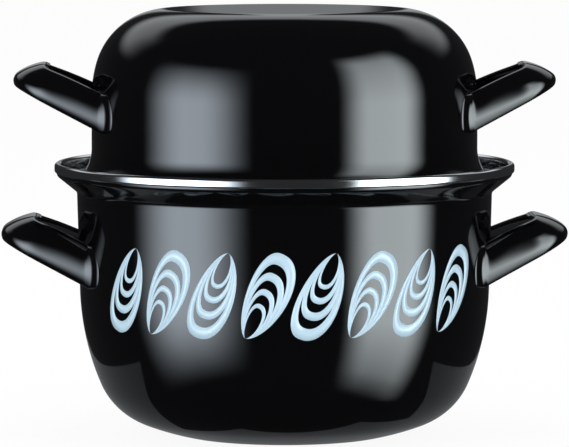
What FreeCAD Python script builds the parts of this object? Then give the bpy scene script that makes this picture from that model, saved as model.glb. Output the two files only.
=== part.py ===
"""Mussel pot of enamelled sheet steel: a pot with a steel rim band, a deep domed lid that rests in the
pot's flare, and four pressed hollow loop handles, two on the pot and two on the lid.

Millimetres, +Z up. The origin is the centre of the standing ring, and the handles lie along X.
"""
import FreeCAD, Part
import math
import os
import Sketcher
from FreeCAD import Vector

# Driving dimensions: name, size in millimetres or degrees, meaning
DIMENSIONS = (
    ("rim_radius", 120.0, "outer radius of the steel rim band"),
    ("rim_height", 142.0, "top of the rim band above the table"),
    ("pot_sheet", 1.2, "thickness of the pot's enamelled sheet"),
    ("ring_round", 3.0, "rounding of the standing ring, on both sides of its land"),
    ("ring_land", 3.0, "width of the flat land that the pot stands on"),
    ("base_recess", 1.5, "height of the base above the table inside the standing ring"),
    ("base_step_round", 4.0, "rounding between the base and the standing ring"),
    ("belly_low_radius", 139.7, "shallow arc above the standing ring"),
    ("belly_radius", 37.8, "tight arc of the lower corner"),
    ("belly_turn", 46.0, "angle of the tight arc, in degrees"),
    ("belly_high_radius", 134.9, "slack arc that runs into the wall"),
    ("belly_high_turn", 21.4, "angle of the slack arc, in degrees"),
    ("rim_overhang", 13.1, "how far the rim band stands out from the foot of the straight wall"),
    ("wall_foot_height", 75.7, "height where the straight wall starts"),
    ("wall_taper", 1.56, "how far the wall leans outwards, in degrees"),
    ("flare_round", 3.0, "rounding between the wall and the flare"),
    ("flare_angle", 39.0, "slope of the flare above the horizontal, in degrees"),
    ("lip_round", 2.5, "rounding between the flare and the upturned lip"),
    ("band_width", 3.5, "width of the rim band across its crown"),
    ("band_height", 5.0, "height of the rim band"),
    ("band_sheet", 0.5, "thickness of the band's steel"),
    ("band_gap", 0.3, "gap between the lip's edge and the band's crown"),
    ("lid_rise", 80.0, "top of the lid above the rim band"),
    ("lid_sheet", 1.2, "thickness of the lid's enamelled sheet"),
    ("lid_shoulder_radius", 38.5, "tight arc of the lid's shoulder"),
    ("lid_side_radius", 65.9, "slack arc between the shoulder and the lid's wall"),
    ("lid_side_turn", 16.3, "angle of the slack arc, in degrees"),
    ("lid_flare_round", 17.5, "arc between the lid's wall and its flare"),
    ("lid_flare_angle", 35.0, "how far the lid's flare leans from the wall, in degrees"),
    ("lid_flare_width", 8.9, "how far the rolled hem stands out from the lid's wall"),
    ("lid_hem_step", 2.6, "how far the rolled hem stands out from the foot of the pot's wall"),
    ("lid_hem_round", 0.7, "inner rounding of the rolled hem"),
    ("lid_hem_turn", 215.0, "angle that the hem is rolled through, in degrees"),
    ("lid_seat_gap", 0.2, "clearance between the hem and the pot's flare"),
    ("handle_sheet", 1.2, "thickness of the handles' sheet"),
    ("handle_reach", 40.2, "distance from the wall to the lower lip of the crossbar"),
    ("handle_half_span", 37.5, "half of the distance over the legs, at the wall"),
    ("handle_converge", 12.0, "how far each leg leans towards the middle, in degrees"),
    ("handle_corner_radius", 22.0, "outer corner of the loop, in plan"),
    ("handle_tilt", 27.0, "how far the loop rises outwards, in degrees"),
    ("lid_strip_share", 0.92, "width of the lid handles' strip, as a share of the pot handles'"),
    ("handle_weld_round", 3.5, "flare of each leg where it meets its foot"),
    ("pot_handle_rise", 5.9, "height of the pot's handles above the foot of the wall"),
    ("lid_handle_drop", 60.2, "height of the lid's top above its handles"),
    ("foot_sheet", 1.2, "thickness of the welded feet"),
    ("foot_round", 12.0, "rounded upper end of each foot"),
    ("foot_tip_round", 4.0, "rounded lower end of each foot"),
    ("foot_half_span", 36.0, "distance of each foot from the middle of its handle"),
    ("pot_foot_length", 24.0, "distance between the centres of a pot foot's two roundings"),
    ("lid_foot_length", 13.5, "distance between the centres of a lid foot's two roundings"),
    ("foot_drop", 3.0, "how far each foot reaches below its handle's lower lip"),
)

# Sizes that follow from another one, by a distance outwards or upwards, or inwards or downwards
DERIVED = {
    "wall_radius": ("rim_radius", "-", "rim_overhang"),
    "pot_handle_height": ("wall_foot_height", "+", "pot_handle_rise"),
    "lid_height": ("rim_height", "+", "lid_rise"),
    "lid_hem_radius": ("wall_radius", "+", "lid_hem_step"),
    "lid_wall_radius": ("lid_hem_radius", "-", "lid_flare_width"),
    "lid_handle_height": ("lid_height", "-", "lid_handle_drop"),
}

# Cross-sections of the pressed strip at the wall, where the corner starts, and on the crossbar: the lean
# of the lower lip, the lengths of the three tangent arcs from there to the inner edge, and their bends
STRIP = (
    (-25.0, (8.8, 11.2, 5.2), (20.0, 25.0, 72.0)),
    (-27.0, (8.0, 12.0, 6.0), (42.0, 45.0, 33.0)),
    (-25.0, (7.5, 14.5, 5.5), (82.0, 22.0, 30.0)),
)
# Where along this list the section is, halfway along the leg and at each step through the corner
LEG_PLACE = 0.5
CORNER_PLACES = (1.0, 1.65, 1.95, 2.0)
# Angle at which a leg's weld leaves its foot, in degrees, how much of its flare each point of the
# section has, from the lower lip up, and how far the leg is let into the foot and into the wall
WELD_START = 35.0
WELD_STEPS = (0.0, 0.35, 0.7, 1.0)
WELD_SHAPE = (0.1, 0.6, 1.0, 1.0, 1.0, 1.0, 1.0)
WELD_MARGIN = 0.5
WELD_DEPTH = 3.0
# A leg's lower lip stops falling at this share of the height that its foot reaches down
LIP_DROP = 0.8
# The stretch of wall behind a handle: below and above its lower lip, its levels, its spread in degrees
WALL_BELOW = 10.0
WALL_ABOVE = 40.0
WALL_STEPS = 12
WALL_SPREAD = 90.0
TRIM_DEPTH = 15.0
FOOT_DEPTH = 2.0

doc = FreeCAD.newDocument("MusselPot")
sheet = doc.addObject("Spreadsheet::Sheet", "Sizes")
for row, (alias, value, meaning) in enumerate(DIMENSIONS, start=1):
    sheet.set(f"A{row}", meaning)
    sheet.set(f"B{row}", str(value))
    sheet.setAlias(f"B{row}", alias)
doc.recompute()

UP = Vector(0, 0, 1)


def size(name):
    """A driving dimension read from the sheet, or one that follows from others."""
    if name in DERIVED:
        base, sign, distance = DERIVED[name]
        return size(base) + (size(distance) if sign == "+" else -size(distance))
    return float(getattr(sheet, name))


def cell(name):
    """The same dimension, as an expression on the sheet's cells."""
    if name in DERIVED:
        base, sign, distance = DERIVED[name]
        return f"({cell(base)} {sign} Sizes.{distance})"
    return f"Sizes.{name}"


def heading(degrees):
    """Unit vector in a sketch's plane."""
    return Vector(math.cos(math.radians(degrees)), math.sin(math.radians(degrees)), 0)


def outline_sketch(name, start, first_heading, runs):
    """Open outline in the XZ plane, made of tangent lines and arcs.

    Each run is a length for a line, or a radius and a turn in degrees for an arc, left turns positive.
    """
    sketch = doc.addObject("Sketcher::SketchObject", name)
    sketch.Placement = FreeCAD.Placement(Vector(), FreeCAD.Rotation(Vector(1, 0, 0), 90))
    point = Vector(start[0], start[1], 0)
    angle = first_heading
    last = None
    for run in runs:
        if isinstance(run, tuple):
            radius, turn = run
            side = math.copysign(1, turn)
            centre = point + heading(angle + 90 * side) * radius
            begin = angle - 90 * side
            low, high = sorted((begin, begin + turn))
            circle = Part.Circle(centre, UP, radius)
            curve = Part.ArcOfCircle(circle, math.radians(low), math.radians(high))
            entry, leave = (1, 2) if turn > 0 else (2, 1)
            point = centre + heading(begin + turn) * radius
            angle += turn
        else:
            curve = Part.LineSegment(point, point + heading(angle) * run)
            entry, leave = 1, 2
            point = point + heading(angle) * run
        index = sketch.addGeometry(curve)
        if last is not None:
            sketch.addConstraint(Sketcher.Constraint("Tangent", last[0], last[1], index, entry))
        last = (index, leave)
    return sketch


def dimension(sketch, name, expression, *constraint):
    """Adds a named dimension to a sketch and binds it to the sheet."""
    index = sketch.addConstraint(Sketcher.Constraint(*constraint))
    sketch.renameConstraint(index, name)
    sketch.setExpression(f"Constraints.{name}", expression)


def sheet_metal(name, sketch, thickness):
    """Cross-section of a sheet: the outline and its copy one thickness further in."""
    section = doc.addObject("Part::Offset2D", name)
    section.Source = sketch
    section.Mode = "Skin"
    section.Fill = True
    section.setExpression("Value", thickness)
    return section


def revolved(name, source, inwards):
    """Solid of revolution about the pot's axis. Inwards is 1 for an outline that has the inside on its left."""
    solid = doc.addObject("Part::Revolution", name)
    solid.Source = source
    solid.Axis = (0, 0, inwards)
    solid.Base = (0, 0, 0)
    solid.Angle = 360
    solid.Solid = True
    return solid


def lip_radius():
    """Outer radius of the pot's upturned lip, in the middle of the band."""
    return size("rim_radius") - (size("band_width") - size("pot_sheet")) / 2


def flare_end():
    """Upper end of the flare's straight slope, on the pot's outer face."""
    slope = math.radians(size("flare_angle"))
    lip_start = size("rim_height") - size("band_height") - size("band_gap")
    radius = lip_radius() - size("lip_round") * (1 - math.sin(slope))
    return radius, lip_start - size("lip_round") * math.cos(slope)


def pot_outline():
    """The pot's outer face, from the middle of its base to the edge of its lip."""
    wall_heading = 90 - size("wall_taper")
    slack = (size("belly_high_radius"), size("belly_high_turn"))
    tight = (size("belly_radius"), size("belly_turn"))
    # Down from the foot of the wall, through the slack and the tight arc
    r = size("wall_radius")
    z = size("wall_foot_height")
    angle = wall_heading
    for radius, turn in (slack, tight):
        centre = (r - radius * math.sin(math.radians(angle)), z + radius * math.cos(math.radians(angle)))
        angle -= turn
        r = centre[0] + radius * math.sin(math.radians(angle))
        z = centre[1] - radius * math.cos(math.radians(angle))
    # The shallow arc touches the standing ring's rounding
    shallow = size("belly_low_radius")
    ring = size("ring_round")
    centre_r = r - shallow * math.sin(math.radians(angle))
    centre_z = z + shallow * math.cos(math.radians(angle))
    touch = math.degrees(math.acos((centre_z - ring) / (shallow - ring)))
    ring_centre = centre_r + (shallow - ring) * math.sin(math.radians(touch))
    # The base steps down to the standing ring
    step = size("base_step_round")
    drop = math.degrees(math.acos((ring + step - size("base_recess")) / (ring + step)))
    land = size("ring_land")
    base_radius = ring_centre - land - (ring + step) * math.sin(math.radians(drop))
    # The wall and the flare meet at a rounded corner
    flare_r, flare_z = flare_end()
    slope = math.tan(math.radians(size("flare_angle")))
    lean = math.tan(math.radians(size("wall_taper")))
    rise = (flare_z - size("wall_foot_height") - slope * (flare_r - size("wall_radius"))) / (1 - slope * lean)
    corner_r = size("wall_radius") + rise * lean
    corner_turn = wall_heading - size("flare_angle")
    corner = size("flare_round") * math.tan(math.radians(corner_turn / 2))
    wall_length = rise / math.cos(math.radians(size("wall_taper"))) - corner
    flare_length = (flare_r - corner_r) / math.cos(math.radians(size("flare_angle"))) - corner
    lip_length = size("band_height") - size("band_sheet")
    sketch = outline_sketch("pot_outline", (0, size("base_recess")), 0, (
        base_radius,
        (step, -drop),
        (ring, drop),
        land,
        (ring, touch),
        (shallow, angle - touch),
        tight,
        slack,
        wall_length,
        (size("flare_round"), -corner_turn),
        flare_length,
        (size("lip_round"), 90 - size("flare_angle")),
        lip_length,
    ))
    sketch.addConstraint(Sketcher.Constraint("PointOnObject", 0, 1, -2))
    sketch.addConstraint(Sketcher.Constraint("Horizontal", 0))
    sketch.addConstraint(Sketcher.Constraint("Horizontal", 3))
    sketch.addConstraint(Sketcher.Constraint("PointOnObject", 3, 1, -1))
    sketch.addConstraint(Sketcher.Constraint("Vertical", 12))
    dimension(sketch, "base_recess", "Sizes.base_recess", "DistanceY", -1, 1, 0, 1, size("base_recess"))
    dimension(sketch, "base_step", "Sizes.base_step_round", "Radius", 1, step)
    dimension(sketch, "ring_inner", "Sizes.ring_round", "Radius", 2, ring)
    dimension(sketch, "ring_land", "Sizes.ring_land", "DistanceX", 3, 1, 3, 2, land)
    dimension(sketch, "ring_outer", "Sizes.ring_round", "Radius", 4, ring)
    dimension(sketch, "belly_low", "Sizes.belly_low_radius", "Radius", 5, shallow)
    dimension(sketch, "belly", "Sizes.belly_radius", "Radius", 6, tight[0])
    dimension(sketch, "belly_turn", "Sizes.belly_turn * 1 deg", "Angle", 6, math.radians(tight[1]))
    dimension(sketch, "belly_high", "Sizes.belly_high_radius", "Radius", 7, slack[0])
    dimension(sketch, "belly_high_turn", "Sizes.belly_high_turn * 1 deg", "Angle", 7, math.radians(slack[1]))
    dimension(sketch, "wall_radius", cell("wall_radius"), "DistanceX", -1, 1, 8, 1, size("wall_radius"))
    dimension(sketch, "wall_foot", "Sizes.wall_foot_height", "DistanceY", -1, 1, 8, 1, size("wall_foot_height"))
    dimension(sketch, "wall_lean", "90 deg - Sizes.wall_taper * 1 deg", "Angle", 8, math.radians(wall_heading))
    dimension(sketch, "flare_round", "Sizes.flare_round", "Radius", 9, size("flare_round"))
    dimension(sketch, "flare_angle", "Sizes.flare_angle * 1 deg", "Angle", 10, math.radians(size("flare_angle")))
    dimension(sketch, "lip_round", "Sizes.lip_round", "Radius", 11, size("lip_round"))
    dimension(sketch, "lip_radius", "Sizes.rim_radius - (Sizes.band_width - Sizes.pot_sheet) / 2",
              "DistanceX", -1, 1, 12, 1, lip_radius())
    dimension(sketch, "lip_length", "Sizes.band_height - Sizes.band_sheet", "DistanceY", 12, 1, 12, 2, lip_length)
    dimension(sketch, "lip_edge", "Sizes.rim_height - Sizes.band_sheet - Sizes.band_gap",
              "DistanceY", -1, 1, 12, 2, size("rim_height") - size("band_sheet") - size("band_gap"))
    return sketch


def band_outline():
    """The band's outer face: from the lip's outer face over the crown to the lip's inner face."""
    crown = size("band_width") / 2
    curl = (size("band_width") - size("pot_sheet")) / 2
    foot = size("rim_height") - size("band_height")
    leg = size("band_height") - crown - curl
    sketch = outline_sketch("band_outline", (lip_radius(), foot), 0, (
        (curl, 90),
        leg,
        (crown, 180),
        leg,
        (curl, 90),
    ))
    sketch.addConstraint(Sketcher.Constraint("Vertical", 1))
    sketch.addConstraint(Sketcher.Constraint("Equal", 1, 3))
    dimension(sketch, "crown", "Sizes.band_width / 2", "Radius", 2, crown)
    dimension(sketch, "outer_curl", "(Sizes.band_width - Sizes.pot_sheet) / 2", "Radius", 0, curl)
    dimension(sketch, "inner_curl", "(Sizes.band_width - Sizes.pot_sheet) / 2", "Radius", 4, curl)
    dimension(sketch, "inner_turn", "90 deg", "Angle", 4, math.radians(90))
    dimension(sketch, "rim_radius", "Sizes.rim_radius", "DistanceX", -1, 1, 1, 1, size("rim_radius"))
    dimension(sketch, "lip_radius", "Sizes.rim_radius - (Sizes.band_width - Sizes.pot_sheet) / 2",
              "DistanceX", -1, 1, 0, 1, lip_radius())
    dimension(sketch, "band_foot", "Sizes.rim_height - Sizes.band_height", "DistanceY", -1, 1, 0, 1, foot)
    dimension(sketch, "leg", "Sizes.band_height - Sizes.band_width + Sizes.pot_sheet / 2",
              "DistanceY", 1, 1, 1, 2, leg)
    return sketch


def hem_height():
    """Height of the rolled hem's centre: the hem rests on the flare's inner face."""
    slope = math.radians(size("flare_angle"))
    flare_r, flare_z = flare_end()
    stand_off = size("pot_sheet") + size("lid_seat_gap") + size("lid_hem_round") + size("lid_sheet")
    seat_r = size("lid_hem_radius") + stand_off * math.sin(slope)
    return flare_z - (flare_r - seat_r) * math.tan(slope) + stand_off * math.cos(slope)


def lid_outline():
    """The lid's outer face, from the middle of its top to the rolled hem."""
    flare = math.radians(size("lid_flare_angle"))
    hem_r = size("lid_hem_radius")
    hem_z = hem_height()
    hem = size("lid_hem_round")
    # Lower end of the straight flare, then up it to the arc below the wall
    foot_r = hem_r - hem * math.cos(flare)
    foot_z = hem_z - hem * math.sin(flare)
    arc = size("lid_flare_round")
    flare_length = (foot_r - size("lid_wall_radius") - arc * (1 - math.cos(flare))) / math.sin(flare)
    wall_z = foot_z + flare_length * math.cos(flare) + arc * math.sin(flare)
    # The side arc and the shoulder arc share a tangent
    shoulder = size("lid_shoulder_radius")
    side = size("lid_side_radius")
    join = math.radians(size("lid_side_turn"))
    top_radius = size("lid_wall_radius") - side + (side - shoulder) * math.cos(join)
    wall_length = size("lid_height") - wall_z - side * math.sin(join) - shoulder * (1 - math.sin(join))
    sketch = outline_sketch("lid_outline", (0, size("lid_height")), 0, (
        top_radius,
        (shoulder, math.degrees(join) - 90),
        (side, -math.degrees(join)),
        wall_length,
        (arc, size("lid_flare_angle")),
        flare_length,
        (hem, size("lid_hem_turn")),
    ))
    sketch.addConstraint(Sketcher.Constraint("PointOnObject", 0, 1, -2))
    sketch.addConstraint(Sketcher.Constraint("Horizontal", 0))
    sketch.addConstraint(Sketcher.Constraint("Vertical", 3))
    dimension(sketch, "lid_height", cell("lid_height"), "DistanceY", -1, 1, 0, 1, size("lid_height"))
    dimension(sketch, "shoulder", "Sizes.lid_shoulder_radius", "Radius", 1, shoulder)
    dimension(sketch, "side", "Sizes.lid_side_radius", "Radius", 2, side)
    dimension(sketch, "side_turn", "Sizes.lid_side_turn * 1 deg", "Angle", 2, join)
    dimension(sketch, "wall_radius", cell("lid_wall_radius"), "DistanceX", -1, 1, 3, 1, size("lid_wall_radius"))
    dimension(sketch, "flare_round", "Sizes.lid_flare_round", "Radius", 4, arc)
    dimension(sketch, "flare_turn", "Sizes.lid_flare_angle * 1 deg", "Angle", 4, flare)
    dimension(sketch, "hem_round", "Sizes.lid_hem_round", "Radius", 6, hem)
    dimension(sketch, "hem_turn", "Sizes.lid_hem_turn * 1 deg", "Angle", 6, math.radians(size("lid_hem_turn")))
    dimension(sketch, "hem_radius", cell("lid_hem_radius"), "DistanceX", -1, 1, 6, 3, hem_r)
    sketch.addConstraint(Sketcher.Constraint("DistanceY", -1, 1, 6, 3, hem_z))
    return sketch


def arc_chain(lean, lengths, bends, offsets):
    """Points along tangent arcs, from the lower lip up and inwards: outwards is X, up is Y.

    A lean of 0 points up, and a bend turns inwards. Each point is moved outwards by its own offset.
    """
    corner = Vector()
    points = [heading(lean) * offsets[0]]
    for length, bend in zip(lengths, bends):
        radius = length / math.radians(bend)
        centre = corner - heading(lean) * radius
        for share in (0.5, 1.0):
            offset = offsets[len(points)]
            points.append(centre + heading(lean + bend * share) * (radius + offset))
        corner = centre + heading(lean + bend) * radius
        lean += bend
    return points


def strip_section(lip, outwards, lean, lengths, bends, flare):
    """Closed cross-section of the pressed strip, in the upright plane through its lower lip."""
    outer = arc_chain(lean, lengths, bends, [flare * part for part in WELD_SHAPE])
    inner = arc_chain(lean, lengths, bends, [-size("handle_sheet")] * len(WELD_SHAPE))
    rings = [[lip + outwards * p.x + UP * p.y for p in chain] for chain in (outer, inner[::-1])]
    edges = []
    for chain in rings:
        for i in range(0, len(chain) - 1, 2):
            edges.append(Part.Arc(*chain[i:i + 3]).toShape())
    caps = [Part.LineSegment(rings[0][-1], rings[1][0]).toShape(),
            Part.LineSegment(rings[1][-1], rings[0][0]).toShape()]
    return Part.Wire(edges[:3] + caps[:1] + edges[3:] + caps[1:])


def blend(first, last, share):
    """Value between two values, or tuple of such values."""
    if isinstance(first, tuple):
        return tuple(blend(a, b, share) for a, b in zip(first, last))
    return first + (last - first) * share


def strip_shape(place, share):
    """Lean, lengths and bends of the strip's section at a place along the loop, at a share of its width."""
    first = min(int(place), len(STRIP) - 2)
    lean, lengths, bends = blend(STRIP[first], STRIP[first + 1], place - first)
    return lean, [length * share for length in lengths], bends


def loop_sections(wall_radius, height, share):
    """Cross-sections of one loop handle on the +X side, from the leg at +Y to the leg at -Y."""
    along = 180 - size("handle_converge")
    towards_wall = Vector(math.cos(math.radians(along)), math.sin(math.radians(along)), 0)
    leg_side = Vector(towards_wall.y, -towards_wall.x, 0)
    root = Vector(wall_radius, size("handle_half_span"), 0)
    rise = math.tan(math.radians(size("handle_tilt")))
    weld = size("handle_weld_round")
    # Where the leg meets the wall, and the wall's direction there
    spread = math.asin(size("foot_half_span") / wall_radius)
    wall_side = Vector(-math.sin(spread), math.cos(spread), 0)
    wall_normal = Vector(math.cos(spread), math.sin(spread), 0)
    skin = root + towards_wall * ((root.dot(wall_normal) - wall_radius - size("foot_sheet"))
                                  / -towards_wall.dot(wall_normal))
    sections = []

    def add(point, outwards, place, flare=0.0):
        climb = max((point.x - wall_radius) * rise, -size("foot_drop") * LIP_DROP)
        lip = Vector(point.x, point.y, height + climb)
        sections.append((lip, outwards, *strip_shape(place, share), flare))

    # The leg flares where it meets its foot, and starts inside the wall
    first = math.radians(WELD_START)
    depth = size("foot_sheet") + WELD_MARGIN
    widest = weld * (1 - math.sin(first)) + (weld * (1 - math.cos(first)) + depth) / math.tan(first)
    add(skin + towards_wall * (depth + WELD_DEPTH), wall_side, 0, widest)
    add(skin + towards_wall * depth, wall_side, 0, widest)
    for step in WELD_STEPS:
        angle = blend(WELD_START, 90, step)
        out = weld * (1 - math.cos(math.radians(angle)))
        flare = weld * (1 - math.sin(math.radians(angle)))
        side = blend(wall_side, leg_side, step)
        add(skin - towards_wall * out, side.normalize(), 0, flare)
    # The leg runs straight to the rounded corner
    corner = size("handle_corner_radius")
    turn = 90 - size("handle_converge")
    bar_x = wall_radius + size("handle_reach")
    leg_end_y = root.y - size("handle_reach") * math.tan(math.radians(size("handle_converge")))
    reach = corner * math.tan(math.radians(turn / 2))
    corner_start = Vector(bar_x, leg_end_y, 0) + towards_wall * reach
    centre = corner_start - leg_side * corner
    add((skin - towards_wall * weld + corner_start) / 2, leg_side, LEG_PLACE)
    # The corner turns the strip from the leg's section to the crossbar's
    for step, place in enumerate(CORNER_PLACES):
        direction = heading(turn * (1 - step / (len(CORNER_PLACES) - 1)))
        add(centre + direction * corner, direction, place)
    bar = Vector(1, 0, 0)
    add(Vector(bar_x, 0, 0), bar, len(STRIP) - 1)
    mirrored = [(Vector(lip.x, -lip.y, lip.z), Vector(side.x, -side.y, 0), *rest)
                for lip, side, *rest in reversed(sections[:-1])]
    return [strip_section(*section) for section in sections + mirrored]


def foot_outline(name, height, length):
    """Outline of a welded foot in the YZ plane: a large rounding above a small one."""
    sketch = doc.addObject("Sketcher::SketchObject", name)
    sketch.Placement = FreeCAD.Placement(Vector(), FreeCAD.Rotation(Vector(1, 1, 1), 120))
    top = size("foot_round")
    tip = size("foot_tip_round")
    span = size("foot_half_span")
    low = size(height) - size("foot_drop") + tip
    lean = math.asin((top - tip) / size(length))
    tip_centre = Vector(span, low, 0)
    top_centre = Vector(span, low + size(length), 0)
    right = heading(-math.degrees(lean))
    left = heading(180 + math.degrees(lean))
    sketch.addGeometry(Part.ArcOfCircle(Part.Circle(top_centre, UP, top), -lean, math.pi + lean))
    sketch.addGeometry(Part.LineSegment(top_centre + left * top, tip_centre + left * tip))
    sketch.addGeometry(Part.ArcOfCircle(Part.Circle(tip_centre, UP, tip), math.pi + lean, 2 * math.pi - lean))
    sketch.addGeometry(Part.LineSegment(tip_centre + right * tip, top_centre + right * top))
    for first, leave, second, entry in ((0, 2, 1, 1), (1, 2, 2, 1), (2, 2, 3, 1), (3, 2, 0, 1)):
        sketch.addConstraint(Sketcher.Constraint("Tangent", first, leave, second, entry))
    sketch.addConstraint(Sketcher.Constraint("Vertical", 0, 3, 2, 3))
    dimension(sketch, "top_round", "Sizes.foot_round", "Radius", 0, top)
    dimension(sketch, "tip_round", "Sizes.foot_tip_round", "Radius", 2, tip)
    dimension(sketch, "span", "Sizes.foot_half_span", "DistanceX", -1, 1, 2, 3, span)
    dimension(sketch, "length", f"Sizes.{length}", "DistanceY", 2, 3, 0, 3, size(length))
    dimension(sketch, "low", f"{cell(height)} - Sizes.foot_drop + Sizes.foot_tip_round",
              "DistanceY", -1, 1, 2, 3, low)
    return sketch


def wall_points(outline, height):
    """Points up the outer face of a wall, along the stretch that a handle's feet cover."""
    low = size(height) - WALL_BELOW
    points = []
    for step in range(WALL_STEPS + 1):
        z = low + step * (WALL_BELOW + WALL_ABOVE) / WALL_STEPS
        level = Part.makeLine(Vector(size("rim_radius") / 2, 0, z), Vector(size("rim_radius"), 0, z))
        points.append(outline.Shape.distToShape(level)[1][0][0])
    return points


def wall_layer(name, points, inner, outer):
    """Layer round the +X side that follows a wall's outer face, between two distances from it."""
    wall = Part.BSplineCurve()
    wall.interpolate(points)
    chains = []
    for distance in (inner, outer):
        chain = []
        for point in points:
            along = wall.tangent(wall.parameter(point))[0]
            chain.append(point + Vector(along.z, 0, -along.x) * distance)
        chains.append(chain)
    curves = [Part.BSplineCurve(), Part.BSplineCurve()]
    for curve, chain in zip(curves, chains):
        curve.interpolate(chain)
    ends = [Part.makeLine(chains[0][i], chains[1][i]) for i in (0, -1)]
    section = Part.Face(Part.Wire([curves[0].toShape(), ends[1], curves[1].toShape(), ends[0]]))
    section.rotate(Vector(), UP, -WALL_SPREAD / 2)
    solid = section.revolve(Vector(), UP, WALL_SPREAD)
    if solid.isInside(Vector(), 0.01, False):
        solid.reverse()
    layer = doc.addObject("Part::Feature", name)
    layer.Shape = solid
    return layer


def feet(name, points, height, length):
    """Two feet that follow the wall's curve: the outline's prisms within a layer on the wall."""
    prism = doc.addObject("Part::Extrusion", f"{name}_foot_prism")
    prism.Base = foot_outline(f"{name}_foot_outline", height, length)
    prism.Dir = (1, 0, 0)
    prism.Solid = True
    prism.setExpression("LengthFwd", "Sizes.rim_radius")
    layer = wall_layer(f"{name}_foot_layer", points, -FOOT_DEPTH, size("foot_sheet"))
    foot = doc.addObject("Part::MultiCommon", f"{name}_foot")
    foot.Shapes = [layer, prism]
    other = doc.addObject("Part::Mirroring", f"{name}_foot_other")
    other.Source = foot
    other.Normal = (0, 1, 0)
    return [foot, other]


def handle_pair(name, outline, height, length, share):
    """Right handle from its loop and its feet, cut to the wall, and the left one as its mirror image."""
    points = wall_points(outline, height)
    loop = doc.addObject("Part::Feature", f"{name}_loop")
    wall_radius = points[WALL_STEPS // 2].x
    loop.Shape = Part.makeLoft(loop_sections(wall_radius, size(height), share), True, False)
    joined = doc.addObject("Part::MultiFuse", f"{name}_joined")
    joined.Shapes = [loop] + feet(name, points, height, length)
    right = doc.addObject("Part::Cut", f"{name}_right")
    right.Base = joined
    right.Tool = wall_layer(f"{name}_trim", points, -TRIM_DEPTH, 0)
    left = doc.addObject("Part::Mirroring", f"{name}_left")
    left.Source = right
    left.Normal = (1, 0, 0)
    return [right, left]


def build():
    """The seven pieces of the pot, each an object of the document."""
    pot = pot_outline()
    lid = lid_outline()
    pieces = [
        revolved("pot_body", sheet_metal("pot_section", pot, "Sizes.pot_sheet"), 1),
        revolved("pot_rim_band", sheet_metal("band_section", band_outline(), "Sizes.band_sheet"), 1),
        revolved("lid_body", sheet_metal("lid_section", lid, "-Sizes.lid_sheet"), -1),
    ]
    doc.recompute()
    pieces += handle_pair("pot_handle", pot, "pot_handle_height", "pot_foot_length", 1)
    pieces += handle_pair("lid_handle", lid, "lid_handle_height", "lid_foot_length", size("lid_strip_share"))
    doc.recompute()
    return pieces


def check_and_write(pieces):
    """Stops if anything failed to build, then writes one file for each piece."""
    for item in doc.Objects:
        if "Invalid" in item.State or "Error" in item.State:
            raise RuntimeError(f"{item.Label} failed: {item.State}")
    for piece in pieces:
        if piece.Shape.isNull() or not piece.Shape.isValid():
            raise RuntimeError(f"{piece.Label} has no valid shape")
    os.makedirs("parts", exist_ok=True)
    for piece in pieces:
        piece.Shape.exportStep(f"parts/{piece.Label}.step")
        print(piece.Label, len(piece.Shape.Solids), round(piece.Shape.Volume), piece.Shape.BoundBox)


check_and_write(build())
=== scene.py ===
import math

import bmesh
import bpy
from bpy.props import FloatProperty, FloatVectorProperty, IntProperty, PointerProperty
from mathutils import Matrix, Vector


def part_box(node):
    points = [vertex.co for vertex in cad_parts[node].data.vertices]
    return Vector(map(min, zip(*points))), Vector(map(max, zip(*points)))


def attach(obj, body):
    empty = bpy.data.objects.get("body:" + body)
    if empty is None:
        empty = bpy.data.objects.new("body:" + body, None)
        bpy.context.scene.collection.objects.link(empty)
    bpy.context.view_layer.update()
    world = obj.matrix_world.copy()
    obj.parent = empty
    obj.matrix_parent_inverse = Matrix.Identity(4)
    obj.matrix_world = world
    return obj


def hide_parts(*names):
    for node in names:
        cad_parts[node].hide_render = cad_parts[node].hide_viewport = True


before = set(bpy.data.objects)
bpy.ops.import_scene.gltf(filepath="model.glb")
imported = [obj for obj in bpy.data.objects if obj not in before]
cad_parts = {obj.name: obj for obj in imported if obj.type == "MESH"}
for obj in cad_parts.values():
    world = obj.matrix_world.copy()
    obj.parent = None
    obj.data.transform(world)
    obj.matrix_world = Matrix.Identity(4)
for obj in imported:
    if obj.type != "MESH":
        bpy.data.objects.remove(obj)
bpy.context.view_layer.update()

bl_info = {
    "name": "Mussel Pot",
    "version": (1, 0, 0),
    "blender": (4, 5, 0),
    "location": "View3D > Sidebar > Mussel Pot",
    "description": "Enamelled mussel pot with its domed lid, its loop handles and a small studio",
    "category": "Add Mesh",
}

MM = 0.001

# Cross-sections of a handle's pressed strip at the wall, where the corner starts, and on the crossbar: the
# lean of the lower lip, the lengths of the four tangent arcs from there to the inner edge, and their bends.
# Angles are in degrees
STRIP = (
    (-53.0, (1.6 * MM, 8.4 * MM, 11.0 * MM, 5.7 * MM), (28.0, 25.0, 38.0, 57.0)),
    (-55.0, (1.6 * MM, 7.4 * MM, 12.6 * MM, 6.0 * MM), (28.0, 42.0, 45.0, 50.0)),
    (-53.0, (1.6 * MM, 6.9 * MM, 14.7 * MM, 5.5 * MM), (28.0, 82.0, 22.0, 45.0)),
)
# Steps of each arc, and how far the lower lip's edge is tucked in from the line of the loop
STRIP_STEPS = (2, 4, 6, 5)
LIP_TUCK = 1.0 * MM

# Steps of the loop's weld, leg, corner and half crossbar. The section changes late along the leg, and early
# round the corner
WELD_STEPS = 5
LEG_STEPS = 5
LEG_EASE = 1.4
CORNER_STEPS = 7
CORNER_EASE = 1.9
BAR_PLACES = (0.35, 0.7, 1.0)

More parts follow.
